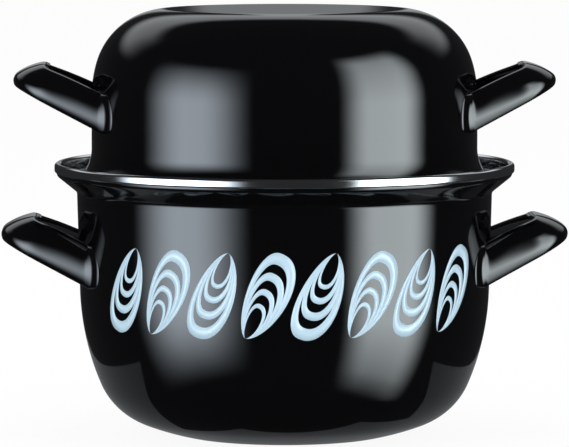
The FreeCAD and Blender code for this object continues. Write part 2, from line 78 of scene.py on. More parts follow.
# The pot's outline from the lip down to the middle of its base, and the sheet of its band. Angles are in
# degrees
LIP_LENGTH = 4.5 * MM
LIP_GAP = 0.3 * MM
LIP_ROUND = 2.5 * MM
FLARE_ANGLE = 39.0
FLARE_ROUND = 3.0 * MM
BELLY_HIGH = 134.9 * MM
BELLY_HIGH_TURN = 21.4
BELLY_TIGHT = 37.8 * MM
BELLY_TIGHT_TURN = 46.0
BELLY_LOW = 139.7 * MM
RING_ROUND = 3.0 * MM
RING_LAND = 3.0 * MM
BASE_STEP = 4.0 * MM
BASE_RECESS = 1.5 * MM
BAND_SHEET = 0.5 * MM

# The lid's sheet, and its outline from the shoulder down to the rolled hem. Angles are in degrees
LID_SHEET = 1.2 * MM
LID_SHOULDER = 38.5 * MM
LID_SIDE = 65.9 * MM
LID_SIDE_FOOT = 175.8 * MM
LID_FLARE_ROUND = 17.5 * MM
LID_FLARE_ANGLE = 35
HEM_ROUND = 0.7 * MM
HEM_TURN = 215

# The handles' sheet and their feet's, and how each leg's weld starts inside its foot: the slope of its flare,
# its depth, its share of the foot's drop, and the share of the flare that the lower lip has
HANDLE_SHEET = 1.2 * MM
FOOT_SHEET = 1.2 * MM
WELD_START = math.radians(30)
WELD_SINK = 0.5 * MM
WELD_DROP = 0.8
LIP_FLARE = 0.1

# Widths of the rings drawn inside a foot's outline, and the share of the foot inside its rounded edge
FOOT_INSETS = (0.03, 0.04, 0.06, 0.12, 0.2, 0.25)
FOOT_FLAT = 0.87

# Outer and inner outline of each growth line of a printed shell, as shares of the whole shell, how slim the
# inner ones are, and how much fuller one side is
GROWTH_LINES = ((1.0, 0.87), (0.77, 0.68), (0.58, 0.51), (0.41, 0.36))
INNER_SLIM = 0.86
FULLER_SIDE = 0.16
PRINT_LIFT = 0.08 * MM
PRINT_THICKNESS = 0.1 * MM

# Steps of every surface that is spun round the pot's axis
TURNS = 256

# How far the camera stands round to the left of the pot's front, with the windows behind opposite to it. Then
# its distance and height in metres, how far it looks down in degrees, and its lens in millimetres
VIEW_TURN = math.radians(1.7)
VIEW_DISTANCE = 2.613
VIEW_HEIGHT = 0.3314
VIEW_DROP = 4.849
VIEW_LENS = 317.5


class PotSizes(bpy.types.PropertyGroup):
    """Sizes of the pot and of its steel rim band."""
    rim_radius: FloatProperty(name="Rim Radius", description="Outer radius of the rim band",
                              default=0.120, unit="LENGTH")
    rim_height: FloatProperty(name="Rim Height", description="Top of the rim band above the table",
                              default=0.142, unit="LENGTH")
    sheet: FloatProperty(name="Sheet", description="Thickness of the enamelled sheet",
                         default=0.0012, unit="LENGTH")
    wall_radius: FloatProperty(name="Wall Radius", description="Outer radius at the foot of the wall",
                               default=0.1069, unit="LENGTH")
    wall_foot: FloatProperty(name="Wall Foot", description="Height where the straight wall starts",
                             default=0.0757, unit="LENGTH")
    wall_taper: FloatProperty(name="Wall Taper", description="How far the wall leans outwards",
                              default=math.radians(1.56), unit="ROTATION", subtype="ANGLE")
    band_width: FloatProperty(name="Band Width", description="Width of the rim band across its crown",
                              default=0.0035, unit="LENGTH")
    band_height: FloatProperty(name="Band Height", description="Height of the rim band",
                               default=0.005, unit="LENGTH")


class LidSizes(bpy.types.PropertyGroup):
    """Sizes of the domed lid."""
    height: FloatProperty(name="Height", description="Top of the lid above the table",
                          default=0.222, unit="LENGTH")
    top_radius: FloatProperty(name="Top Radius", description="Radius of the flat top",
                              default=0.061, unit="LENGTH")
    wall_radius: FloatProperty(name="Wall Radius", description="Outer radius of the straight wall",
                               default=0.1006, unit="LENGTH")
    hem_radius: FloatProperty(name="Hem Radius", description="Radius of the rolled hem",
                              default=0.1095, unit="LENGTH")


class HandleSizes(bpy.types.PropertyGroup):
    """Sizes shared by the four loop handles."""
    pot_height: FloatProperty(name="Pot Handle Height", default=0.0816, unit="LENGTH",
                              description="Lower lip of the pot's handles at the wall")
    lid_height: FloatProperty(name="Lid Handle Height", default=0.1618, unit="LENGTH",
                              description="Lower lip of the lid's handles at the wall")
    reach: FloatProperty(name="Reach", description="Distance from the wall to the crossbar's lower lip",
                         default=0.0402, unit="LENGTH")
    half_span: FloatProperty(name="Half Span", description="Half of the distance over the legs at the wall",
                             default=0.0375, unit="LENGTH")
    converge: FloatProperty(name="Converge", description="How far each leg leans towards the middle",
                            default=math.radians(17), unit="ROTATION", subtype="ANGLE")
    corner: FloatProperty(name="Corner Radius", description="Outer corner of the loop in plan",
                          default=0.022, unit="LENGTH")
    tilt: FloatProperty(name="Tilt", description="How far the loop rises outwards",
                        default=math.radians(27), unit="ROTATION", subtype="ANGLE")
    lid_share: FloatProperty(name="Lid Strip Share", default=0.92,
                             description="Width of the lid handles' strip, as a share of the pot handles'")
    weld: FloatProperty(name="Weld Flare", description="Flare of each leg where it meets its foot",
                        default=0.0035, unit="LENGTH")
    foot_round: FloatProperty(name="Foot Round", description="Rounded upper end of each foot",
                              default=0.012, unit="LENGTH")
    foot_tip: FloatProperty(name="Foot Tip", description="Rounded lower end of each foot",
                            default=0.004, unit="LENGTH")
    foot_span: FloatProperty(name="Foot Span", description="Distance of each foot from the handle's middle",
                             default=0.036, unit="LENGTH")
    pot_foot: FloatProperty(name="Pot Foot Length", description="Distance between a pot foot's two roundings",
                            default=0.024, unit="LENGTH")
    lid_foot: FloatProperty(name="Lid Foot Length", description="Distance between a lid foot's two roundings",
                            default=0.0135, unit="LENGTH")
    foot_drop: FloatProperty(name="Foot Drop", description="How far a foot reaches below the lower lip",
                             default=0.003, unit="LENGTH")


class OrnamentSizes(bpy.types.PropertyGroup):
    """Sizes of the printed row of mussel shells."""
    count: IntProperty(name="Count", description="Number of shells in the row", default=8, min=1)
    step: FloatProperty(name="Step", description="Angle between neighbouring shells",
                        default=math.radians(14.6), unit="ROTATION", subtype="ANGLE")
    height: FloatProperty(name="Height", description="Middle of the row above the table",
                          default=0.082, unit="LENGTH")
    length: FloatProperty(name="Shell Length", description="Length of one shell",
                          default=0.047, unit="LENGTH")
    width: FloatProperty(name="Shell Width", description="Width of one shell",
                         default=0.0225, unit="LENGTH")
    tilt: FloatProperty(name="Tilt", description="How far each shell leans",
                        default=math.radians(24), unit="ROTATION", subtype="ANGLE")


class Finishes(bpy.types.PropertyGroup):
    """Colours of the pot's finishes."""
    enamel: FloatVectorProperty(name="Enamel", description="Black enamel", subtype="COLOR",
                                default=(0.0018, 0.0018, 0.0022))
    print_blue: FloatVectorProperty(name="Print", description="Pale blue print", subtype="COLOR",
                                    default=(0.56, 0.76, 0.90))
    steel: FloatVectorProperty(name="Steel", description="Polished stainless steel", subtype="COLOR",
                               default=(0.80, 0.80, 0.81))


class StudioLevels(bpy.types.PropertyGroup):
    """Levels of the studio's lights."""
    left_softbox: FloatProperty(name="Left Softbox", default=7.0,
                                description="Strength of the left softbox")
    right_softbox: FloatProperty(name="Right Softbox", default=7.7,
                                 description="Strength of the right softbox")
    back_strip: FloatProperty(name="Back Strip", description="Strength of the strip high behind", default=0.9)
    sweep: FloatProperty(name="Sweep", description="Strength of the pale sweep low behind", default=0.4)
    # Glow of the table card, a painted reflection of the lit table in the enamel
    table: FloatProperty(name="Table", description="Strength of the table under the pot", default=0.21)
    ambient: FloatProperty(name="Ambient", description="Strength of the dark studio's walls", default=0.025)
    fill: FloatProperty(name="Fill", description="Strength of the even light", default=0.72)


def tangent_outline(bm, start, heading, runs, steps):
    """Draws tangent lines and arcs in the XZ plane by moving and spinning a vertex.

    A run is a length for a line, or a radius and a turn in degrees for an arc, left turns positive.
    """
    tip = bmesh.ops.create_vert(bm, co=start)["vert"][0]
    drawn = [tip]
    for run, count in zip(runs, steps):
        if isinstance(run, tuple):
            radius, turn = run
            side = math.radians(heading + math.copysign(90, turn))
            centre = tip.co + Vector((math.cos(side), 0, math.sin(side))) * radius
            for _ in range(count):
                tip = extruded(bm, tip)
                bmesh.ops.rotate(bm, verts=[tip], cent=centre,
                                 matrix=Matrix.Rotation(-math.radians(turn / count), 3, "Y"))
                drawn.append(tip)
            heading += turn
        else:
            along = Vector((math.cos(math.radians(heading)), 0, math.sin(math.radians(heading))))
            for _ in range(count):
                tip = extruded(bm, tip)
                bmesh.ops.translate(bm, verts=[tip], vec=along * run / count)
                drawn.append(tip)
    return drawn


def extruded(bm, vertex):
    """A new vertex, joined to the last one by an edge."""
    return bmesh.ops.extrude_vert_indiv(bm, verts=[vertex])["verts"][0]


def spun(bm):
    """Spins the outline round the pot's axis, and closes the poles."""
    bmesh.ops.spin(bm, geom=bm.verts[:] + bm.edges[:], cent=(0, 0, 0), axis=(0, 0, 1),
                   angle=math.tau, steps=TURNS, use_merge=True)
    bmesh.ops.remove_doubles(bm, verts=bm.verts, dist=1e-6)
    bmesh.ops.recalc_face_normals(bm, faces=bm.faces)
    bm.normal_update()


def faced(bm, place, direction):
    """Turns the surface over if the face nearest to a place doesn't point along a direction."""
    nearest = min(bm.faces, key=lambda face: (face.calc_center_median() - Vector(place)).length)
    if nearest.normal.dot(Vector(direction)) < 0:
        bmesh.ops.reverse_faces(bm, faces=bm.faces)


def finished(bm, name, material, thickness=0.0, rounds=0, even=True):
    """Makes the piece's object, smooth, with its sheet thickness laid inwards."""
    for face in bm.faces:
        face.smooth = True
    mesh = bpy.data.meshes.new(name)
    bm.to_mesh(mesh)
    bm.free()
    mesh.materials.append(material)
    piece = bpy.data.objects.new(name, mesh)
    bpy.context.scene.collection.objects.link(piece)
    if thickness:
        shell = piece.modifiers.new("Sheet", "SOLIDIFY")
        shell.thickness = thickness
        shell.offset = -1
        shell.use_even_offset = even
    if rounds:
        smooth = piece.modifiers.new("Rounding", "SUBSURF")
        smooth.levels = rounds
        smooth.render_levels = rounds
    return piece


def belly_radius(height):
    """Outer radius of the pot's belly, on the slack arc just below the straight wall."""
    arc = BELLY_HIGH
    sizes = bpy.context.scene.pot_sizes
    heading = math.pi / 2 - sizes.wall_taper
    middle = sizes.wall_foot + arc * math.cos(heading)
    return sizes.wall_radius - arc * math.sin(heading) + math.sqrt(arc ** 2 - (middle - height) ** 2)


def pot_radius(height):
    """Outer radius of the pot at a height on its wall or its belly."""
    sizes = bpy.context.scene.pot_sizes
    if height < sizes.wall_foot:
        return belly_radius(height)
    return sizes.wall_radius + (height - sizes.wall_foot) * math.tan(sizes.wall_taper)


def lid_radius(height):
    """Outer radius of the lid at a height on its wall or just above it."""
    wall = bpy.context.scene.lid_sizes.wall_radius
    above = height - LID_SIDE_FOOT
    if above < 0:
        return wall
    return wall - LID_SIDE + math.sqrt(LID_SIDE ** 2 - above ** 2)


# Materials

def new_material(name):
    """An empty node material and its shader."""
    material = bpy.data.materials.new(name)
    material.use_nodes = True
    return material, material.node_tree.nodes["Principled BSDF"]


def object_noise(material, scale, detail):
    """Noise that keeps to the piece."""
    nodes = material.node_tree.nodes
    place = nodes.new("ShaderNodeTexCoord")
    noise = nodes.new("ShaderNodeTexNoise")
    noise.inputs["Scale"].default_value = scale
    noise.inputs["Detail"].default_value = detail
    material.node_tree.links.new(place.outputs["Object"], noise.inputs["Vector"])
    return noise.outputs["Fac"]


def mapped(material, source, low, high):
    """A noise's value, most of which lies from 0.3 to 0.7, spread between two limits."""
    spread = material.node_tree.nodes.new("ShaderNodeMapRange")
    spread.inputs["From Min"].default_value = 0.3
    spread.inputs["From Max"].default_value = 0.7
    spread.inputs["To Min"].default_value = low
    spread.inputs["To Max"].default_value = high
    material.node_tree.links.new(source, spread.inputs["Value"])
    return spread.outputs["Result"]


def bumped(material, shader, source, strength, distance):
    """Shallow relief from a texture."""
    bump = material.node_tree.nodes.new("ShaderNodeBump")
    bump.inputs["Strength"].default_value = strength
    bump.inputs["Distance"].default_value = distance
    material.node_tree.links.new(source, bump.inputs["Height"])
    material.node_tree.links.new(bump.outputs["Normal"], shader.inputs["Normal"])


def enamel_material():
    """Gloss black vitreous enamel, with the faint waviness of a fired coat."""
    material, shader = new_material("gloss_enamel")
    shader.inputs["Base Color"].default_value = (*bpy.context.scene.finishes.enamel, 1)
    shader.inputs["IOR"].default_value = 1.54
    wave = object_noise(material, 38, 1.5)
    fine = object_noise(material, 420, 2)
    material.node_tree.links.new(mapped(material, fine, 0.045, 0.085), shader.inputs["Roughness"])
    bumped(material, shader, wave, 0.10, 0.6 * MM)
    return material


def print_material():
    """Pale blue enamel print, fired on the black."""
    material, shader = new_material("blue_print")
    links = material.node_tree.links
    blue = bpy.context.scene.finishes.print_blue
    cloud = object_noise(material, 55, 3)
    mix = material.node_tree.nodes.new("ShaderNodeMix")
    mix.data_type = "RGBA"
    mix.inputs["A"].default_value = (*[channel * 0.93 for channel in blue], 1)
    mix.inputs["B"].default_value = (*blue, 1)
    links.new(cloud, mix.inputs["Factor"])
    links.new(mix.outputs["Result"], shader.inputs["Base Color"])
    shader.inputs["IOR"].default_value = 1.5
    fine = object_noise(material, 600, 2)
    links.new(mapped(material, fine, 0.16, 0.26), shader.inputs["Roughness"])
    bumped(material, shader, fine, 0.06, 0.2 * MM)
    return material


def steel_material():
    """Polished stainless steel, with faint turned lines round the band."""
    material, shader = new_material("rim_steel")
    nodes = material.node_tree.nodes
    links = material.node_tree.links
    shader.inputs["Base Color"].default_value = (*bpy.context.scene.finishes.steel, 1)
    shader.inputs["Metallic"].default_value = 1.0
    place = nodes.new("ShaderNodeTexCoord")
    split = nodes.new("ShaderNodeSeparateXYZ")
    flat = nodes.new("ShaderNodeCombineXYZ")
    length = nodes.new("ShaderNodeVectorMath")
    length.operation = "LENGTH"
    ring = nodes.new("ShaderNodeCombineXYZ")
    links.new(place.outputs["Object"], split.inputs["Vector"])
    links.new(split.outputs["X"], flat.inputs["X"])
    links.new(split.outputs["Y"], flat.inputs["Y"])
    links.new(flat.outputs["Vector"], length.inputs[0])
    links.new(length.outputs["Value"], ring.inputs["X"])
    links.new(split.outputs["Z"], ring.inputs["Z"])
    lines = nodes.new("ShaderNodeTexNoise")
    lines.inputs["Scale"].default_value = 5200
    lines.inputs["Detail"].default_value = 2
    links.new(ring.outputs["Vector"], lines.inputs["Vector"])
    patch = object_noise(material, 90, 2)
    links.new(mapped(material, patch, 0.07, 0.15), shader.inputs["Roughness"])
    bumped(material, shader, lines.outputs["Fac"], 0.08, 0.05 * MM)
    return material


def finish(name, make):
    """A finish that several pieces share."""
    return bpy.data.materials.get(name) or make()


class MUSSEL_OT_pot(bpy.types.Operator):
    """Spin the enamelled pot from its outline"""
    bl_idname = "mussel.pot"
    bl_label = "Pot"

    def execute(self, context):
        sizes = context.scene.pot_sizes
        taper = math.degrees(sizes.wall_taper)
        lip = sizes.rim_radius - (sizes.band_width - sizes.sheet) / 2
        slope = math.radians(FLARE_ANGLE)
        lip_foot = sizes.rim_height - sizes.band_height - LIP_GAP
        flare_r = lip - LIP_ROUND * (1 - math.sin(slope))
        flare_z = lip_foot - LIP_ROUND * math.cos(slope)
        lean = math.tan(sizes.wall_taper)
        rise = flare_z - sizes.wall_foot - math.tan(slope) * (flare_r - sizes.wall_radius)
        rise /= 1 - math.tan(slope) * lean
        corner_turn = 90 - taper - FLARE_ANGLE
        corner = FLARE_ROUND * math.tan(math.radians(corner_turn / 2))
        wall = rise / math.cos(sizes.wall_taper) - corner
        slant = (flare_r - sizes.wall_radius - rise * lean) / math.cos(slope) - corner
        wall_foot = (sizes.wall_radius, 0, sizes.wall_foot)
        bm = bmesh.new()
        # From the foot of the wall up to the lip
        tangent_outline(bm, wall_foot, 90 - taper,
                        (wall, (FLARE_ROUND, -corner_turn), slant, (LIP_ROUND, 90 - FLARE_ANGLE), LIP_LENGTH),
                        (14, 6, 6, 6, 3))
        # From the foot of the wall down to the middle of the base
        drawn = tangent_outline(bm, wall_foot, 270 - taper,
                                ((BELLY_HIGH, -BELLY_HIGH_TURN), (BELLY_TIGHT, -BELLY_TIGHT_TURN)), (22, 20))
        end = drawn[-1]
        heading = math.radians(90 - taper - BELLY_HIGH_TURN - BELLY_TIGHT_TURN)
        centre = end.co + Vector((-math.sin(heading), 0, math.cos(heading))) * BELLY_LOW
        touch = math.acos((centre.z - RING_ROUND) / (BELLY_LOW - RING_ROUND))
        ring_r = centre.x + (BELLY_LOW - RING_ROUND) * math.sin(touch)
        rounds = RING_ROUND + BASE_STEP
        drop = math.degrees(math.acos((rounds - BASE_RECESS) / rounds))
        inner_r = ring_r - RING_LAND - rounds * math.sin(math.radians(drop))
        tangent_outline(bm, end.co, math.degrees(heading) + 180,
                        ((BELLY_LOW, math.degrees(touch - heading)), (RING_ROUND, -math.degrees(touch)),
                         RING_LAND, (RING_ROUND, -drop), (BASE_STEP, drop), inner_r),
                        (10, 6, 2, 5, 5, 8))
        bmesh.ops.remove_doubles(bm, verts=bm.verts, dist=1e-6)
        spun(bm)
        faced(bm, wall_foot, (1, 0, 0))
        pot = finished(bm, "pot_shell", finish("gloss_enamel", enamel_material), sizes.sheet)
        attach(pot, "root")
        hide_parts("pot_body")
        return {"FINISHED"}


class MUSSEL_OT_rim_band(bpy.types.Operator):
    """Spin the steel band that is folded over the pot's lip"""
    bl_idname = "mussel.rim_band"
    bl_label = "Rim Band"

    def execute(self, context):
        sizes = context.scene.pot_sizes
        crown = sizes.band_width / 2
        curl = (sizes.band_width - sizes.sheet) / 2
        leg = sizes.band_height - crown - curl
        lip = sizes.rim_radius - curl
        bm = bmesh.new()
        tangent_outline(bm, (lip, 0, sizes.rim_height - sizes.band_height), 0,
                        ((curl, 90), leg, (crown, 180), leg, (curl, 90)), (6, 3, 16, 3, 6))
        spun(bm)
        faced(bm, (sizes.rim_radius, 0, sizes.rim_height - crown), (1, 0, 0))
        band = finished(bm, "rim_band", finish("rim_steel", steel_material), BAND_SHEET)
        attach(band, "root")
        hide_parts("pot_rim_band")
        return {"FINISHED"}


class MUSSEL_OT_lid(bpy.types.Operator):
    """Spin the domed lid from its outline"""
    bl_idname = "mussel.lid"
    bl_label = "Lid"

    def execute(self, context):
        sizes = context.scene.lid_sizes
        join = math.acos((sizes.top_radius - sizes.wall_radius + LID_SIDE) / (LID_SIDE - LID_SHOULDER))
        flare = math.radians(LID_FLARE_ANGLE)
        hem_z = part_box("lid_body")[0].z + HEM_ROUND + LID_SHEET
        foot_r = sizes.hem_radius - HEM_ROUND * math.cos(flare)
        foot_z = hem_z - HEM_ROUND * math.sin(flare)
        slant = (foot_r - sizes.wall_radius - LID_FLARE_ROUND * (1 - math.cos(flare))) / math.sin(flare)
        wall_z = foot_z + slant * math.cos(flare) + LID_FLARE_ROUND * math.sin(flare)
        curved = LID_SIDE * math.sin(join) + LID_SHOULDER * (1 - math.sin(join))
        bm = bmesh.new()
        tangent_outline(bm, (0, 0, sizes.height), 0,
                        (sizes.top_radius, (LID_SHOULDER, math.degrees(join) - 90),
                         (LID_SIDE, -math.degrees(join)), sizes.height - wall_z - curved,
                         (LID_FLARE_ROUND, LID_FLARE_ANGLE), slant, (HEM_ROUND, HEM_TURN)),
                        (12, 30, 10, 8, 10, 3, 14))
        spun(bm)
        faced(bm, (0, 0, sizes.height), (0, 0, 1))
        lid = finished(bm, "lid_shell", finish("gloss_enamel", enamel_material), LID_SHEET)
        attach(lid, "root")
        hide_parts("lid_body")
        return {"FINISHED"}


def between(first, last, share):
    """Value part of the way from the first to the last, or a tuple of such values."""
    if isinstance(first, tuple):
        return tuple(between(a, b, share) for a, b in zip(first, last))
    return first + (last - first) * share


def strip_section(bm, width, lip, outwards, place, flare):
    """One cross-section of the handle's strip, drawn flat and then turned into place."""
    first = min(int(place), len(STRIP) - 2)
    lean, lengths, bends = between(STRIP[first], STRIP[first + 1], place - first)
    runs = [(width * length / math.radians(bend), bend) for length, bend in zip(lengths, bends)]
    drawn = tangent_outline(bm, (-LIP_TUCK, 0, 0), 90 + lean, runs, STRIP_STEPS)
    for number, vertex in enumerate(drawn):
        vertex.co.x += flare * min(1, LIP_FLARE + number / STRIP_STEPS[0])
    turn = Matrix.Rotation(math.atan2(outwards.y, outwards.x), 4, "Z")
    bmesh.ops.transform(bm, matrix=Matrix.Translation(lip) @ turn, verts=drawn)
    return drawn


def handle_stations(sizes, wall_radius, height):
    """Point, outward direction, place between the sections and flare of each station of a half handle.

    The stations run from the wall over the weld, the leg and the corner to the middle of the crossbar.
    """
    along = math.pi - sizes.converge
    inwards = Vector((math.cos(along), math.sin(along), 0))
    leg_side = Vector((inwards.y, -inwards.x, 0))
    root = Vector((wall_radius, sizes.half_span, 0))
    rise = math.tan(sizes.tilt)
    weld = sizes.weld
    spread = math.asin(sizes.foot_span / wall_radius)
    wall_side = Vector((-math.sin(spread), math.cos(spread), 0))
    wall_normal = Vector((math.cos(spread), math.sin(spread), 0))
    # Where the leg's outer side meets the outer face of its foot
    skin = root + inwards * ((root.dot(wall_normal) - wall_radius - FOOT_SHEET) / -inwards.dot(wall_normal))
    stations = []

    def add(point, outwards, place, flare=0.0):
        climb = max((point.x - wall_radius) * rise, -WELD_DROP * sizes.foot_drop)
        stations.append((Vector((point.x, point.y, height + climb)), outwards, place, flare))

    depth = FOOT_SHEET + WELD_SINK
    widest = weld * (1 - math.sin(WELD_START))
    widest += (weld * (1 - math.cos(WELD_START)) + depth) / math.tan(WELD_START)
    add(skin + inwards * depth, wall_side, 0, widest)
    for step in range(WELD_STEPS + 1):
        angle = between(WELD_START, math.pi / 2, step / WELD_STEPS)
        side = between(wall_side, leg_side, step / WELD_STEPS).normalized()
        add(skin - inwards * weld * (1 - math.cos(angle)), side, 0, weld * (1 - math.sin(angle)))
    turn = math.pi / 2 - sizes.converge
    bar_x = wall_radius + sizes.reach
    leg_end = Vector((bar_x, root.y - sizes.reach * math.tan(sizes.converge), 0))
    corner_start = leg_end + inwards * sizes.corner * math.tan(turn / 2)
    centre = corner_start - leg_side * sizes.corner
    leg_start = skin - inwards * weld
    for step in range(1, LEG_STEPS):
        share = step / LEG_STEPS
        add(leg_start.lerp(corner_start, share), leg_side, share ** LEG_EASE)
    for step in range(CORNER_STEPS + 1):
        left = 1 - step / CORNER_STEPS
        direction = Matrix.Rotation(turn * left, 3, "Z") @ Vector((1, 0, 0))
        add(centre + direction * sizes.corner, direction, 2 - left ** CORNER_EASE)
    for place in BAR_PLACES:
        add(Vector((bar_x, centre.y * (1 - place), 0)), Vector((1, 0, 0)), 2)
    return stations


def foot_pad(bm, sizes, height, length, radius_at):
    """A welded foot: a disc drawn out to a teardrop, laid on the wall, with a rounded edge."""
    disc = bmesh.ops.create_circle(bm, cap_ends=True, segments=64, radius=1)["verts"]
    face = disc[0].link_faces[0]
    for inset in FOOT_INSETS:
        bmesh.ops.inset_region(bm, faces=[face], thickness=inset, use_even_offset=True)
    near = {face}
    for _ in range(len(FOOT_INSETS) + 1):
        near |= {other for part in near for edge in part.edges for other in edge.link_faces}
    pad = list({vertex for part in near for vertex in part.verts})
    top = sizes.foot_round
    tip = sizes.foot_tip
    lean = math.asin((top - tip) / length)
    low = height - sizes.foot_drop + tip
    for vertex in pad:
        reach = vertex.co.length
        angle = math.atan2(vertex.co.y, vertex.co.x)
        # Outline of the teardrop along this direction, seen from the middle of its large rounding
        below = -math.pi / 2 - angle if angle < 0 else 0
        if angle >= 0 or abs(below) > math.pi / 2 - lean:
            edge = top
        else:
            straight = top / math.cos(math.pi / 2 - lean - abs(below))
            far = length * math.cos(below)
            round_tip = far + math.sqrt(max(tip ** 2 - (length * math.sin(below)) ** 2, 0))
            edge = min(straight, round_tip)
        across = sizes.foot_span + math.cos(angle) * edge * reach
        up = low + length + math.sin(angle) * edge * reach
        fall = max(0, reach - FOOT_FLAT) / (1 - FOOT_FLAT)
        swell = FOOT_SHEET * math.sqrt(max(0, 1 - fall ** 2))
        radius = radius_at(up) + swell
        vertex.co = (math.sqrt(radius ** 2 - across ** 2), across, up)


def mirrored(bm, faces):
    """Adds the mirror image across the handle's middle, and turns each part's faces outwards."""
    parts = {part for face in faces for part in (face, *face.edges, *face.verts)}
    kept = set(bm.faces) - set(faces)
    bmesh.ops.mirror(bm, geom=list(parts), matrix=Matrix.Identity(4), axis="Y", merge_dist=1e-6)
    faces = [face for face in bm.faces if face not in kept]
    bmesh.ops.recalc_face_normals(bm, faces=faces)
    bm.normal_update()
    return faces


def make_handle(name, nodes, height, length, width, radius_at):
    """Makes one pair of loop handles, right and left, with their feet."""
    sizes = bpy.context.scene.handle_sizes
    for side, node in zip((1, -1), nodes):
        bm = bmesh.new()
        wall_radius = radius_at(height)
        sections = [strip_section(bm, width, *station)
                    for station in handle_stations(sizes, wall_radius, height)]
        for first, last in zip(sections, sections[1:]):
            edges = [edge for chain in (first, last) for a, b in zip(chain, chain[1:])
                     for edge in a.link_edges if edge.other_vert(a) is b]
            bmesh.ops.bridge_loops(bm, edges=edges)
        strip = mirrored(bm, bm.faces[:])
        if max(strip, key=lambda face: face.calc_center_median().x).normal.x < 0:
            bmesh.ops.reverse_faces(bm, faces=strip)
        foot_pad(bm, sizes, height, length, radius_at)
        pads = mirrored(bm, [face for face in bm.faces if face not in set(strip)])
        for half in (1, -1):
            pad = [face for face in pads if face.calc_center_median().y * half > 0]
            if max(pad, key=lambda face: face.calc_area()).normal.x < 0:
                bmesh.ops.reverse_faces(bm, faces=pad)
        if side < 0:
            bmesh.ops.scale(bm, vec=(-1, 1, 1), verts=bm.verts)
            bmesh.ops.reverse_faces(bm, faces=bm.faces)
        handle = finished(bm, f"{name}_{'right' if side > 0 else 'left'}",
                          finish("gloss_enamel", enamel_material), HANDLE_SHEET, rounds=2, even=False)
        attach(handle, "root")
        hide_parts(node)


class MUSSEL_OT_pot_handles(bpy.types.Operator):
    """Loft the two hollow loop handles of the pot"""
    bl_idname = "mussel.pot_handles"
    bl_label = "Pot Handles"

    def execute(self, context):
        sizes = context.scene.handle_sizes
        make_handle("pot_loop", ("pot_handle_right", "pot_handle_left"),
                    sizes.pot_height, sizes.pot_foot, 1.0, pot_radius)
        return {"FINISHED"}


class MUSSEL_OT_lid_handles(bpy.types.Operator):
    """Loft the two hollow loop handles of the lid"""
    bl_idname = "mussel.lid_handles"
    bl_label = "Lid Handles"

    def execute(self, context):
        sizes = context.scene.handle_sizes
        make_handle("lid_loop", ("lid_handle_right", "lid_handle_left"),
                    sizes.lid_height, sizes.lid_foot, sizes.lid_share, lid_radius)
        return {"FINISHED"}


def shell_line(bm, outer, inner, sizes, flip):
    """One growth line of a shell: a band between two outlines that share the shell's tip."""
    rings = []
    for scale, slim in ((outer, 1.0), (inner, INNER_SLIM)):
        ring = bmesh.ops.create_circle(bm, cap_ends=False, segments=56, radius=1)["verts"]
        for vertex in ring:
            along = (1 - vertex.co.x) / 2
            side = math.copysign(1, vertex.co.y) if abs(vertex.co.y) > 1e-6 else 0
            # A mussel's outline is pointed at the tip, round at the other end, and fuller along one side
            swell = along ** 0.62 * (1 - along) ** 0.42 * 1.94
            fullness = FULLER_SIDE if side * flip > 0 else -FULLER_SIDE
            width = sizes.width / 2 * (1 + fullness) * slim
            vertex.co = (side * swell * width * scale, 0, along * sizes.length * scale)
        rings.append(ring)
    edges = list({edge for ring in rings for vertex in ring for edge in vertex.link_edges})
    bmesh.ops.bridge_loops(bm, edges=edges)
    return [vertex for ring in rings for vertex in ring]


class MUSSEL_OT_ornament(bpy.types.Operator):
    """Lay a printed row of mussel shells round the pot's front"""
    bl_idname = "mussel.ornament"
    bl_label = "Shell Ornament"

    def execute(self, context):
        sizes = context.scene.ornament_sizes
        bm = bmesh.new()
        for number in range(sizes.count):
            flip = 1 if number % 2 else -1
            drawn = []
            for outer, inner in GROWTH_LINES:
                drawn += shell_line(bm, outer, inner, sizes, flip)
            bmesh.ops.translate(bm, verts=drawn, vec=(0, 0, -sizes.length / 2))
            bmesh.ops.rotate(bm, verts=drawn, cent=(0, 0, 0),
                             matrix=Matrix.Rotation(sizes.tilt + (math.pi if flip < 0 else 0), 3, "Y"))
            middle = (number - (sizes.count - 1) / 2) * sizes.step
            for vertex in drawn:
                height = sizes.height + vertex.co.z
                radius = pot_radius(height) + PRINT_LIFT
                angle = middle + vertex.co.x / radius
                vertex.co = (radius * math.sin(angle), -radius * math.cos(angle), height)
        bmesh.ops.recalc_face_normals(bm, faces=bm.faces)
        bm.normal_update()
        for face in bm.faces:
            if face.normal.dot(face.calc_center_median() * Vector((1, 1, 0))) < 0:
                face.normal_flip()
        ornament = finished(bm, "shell_print", finish("blue_print", print_material), PRINT_THICKNESS,
                            even=False)
        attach(ornament, "root")
        return {"FINISHED"}


# Studio

def calculated(material, operation, *values):
    """Result of a sum on numbers and sockets."""
    node = material.node_tree.nodes.new("ShaderNodeMath")
    node.operation = operation
    for socket, value in zip(node.inputs, values):
        if isinstance(value, (int, float)):
            socket.default_value = value
        else:
            material.node_tree.links.new(value, socket)
    return node.outputs["Value"]


def ramp(material, value, start, end, low=0.0, high=1.0, smooth=True):
    """Goes from low to high as an angle in degrees goes from start to end."""
    node = material.node_tree.nodes.new("ShaderNodeMapRange")
    node.interpolation_type = "SMOOTHSTEP" if smooth else "LINEAR"
    for name, limit in (("From Min", start), ("From Max", end)):
        node.inputs[name].default_value = math.radians(limit)
    node.inputs["To Min"].default_value = low
    node.inputs["To Max"].default_value = high
    material.node_tree.links.new(value, node.inputs["Value"])
    return node.outputs["Result"]


def product(material, *values):
    """Product of several values."""
    total = values[0]
    for value in values[1:]:
        total = calculated(material, "MULTIPLY", total, value)
    return total


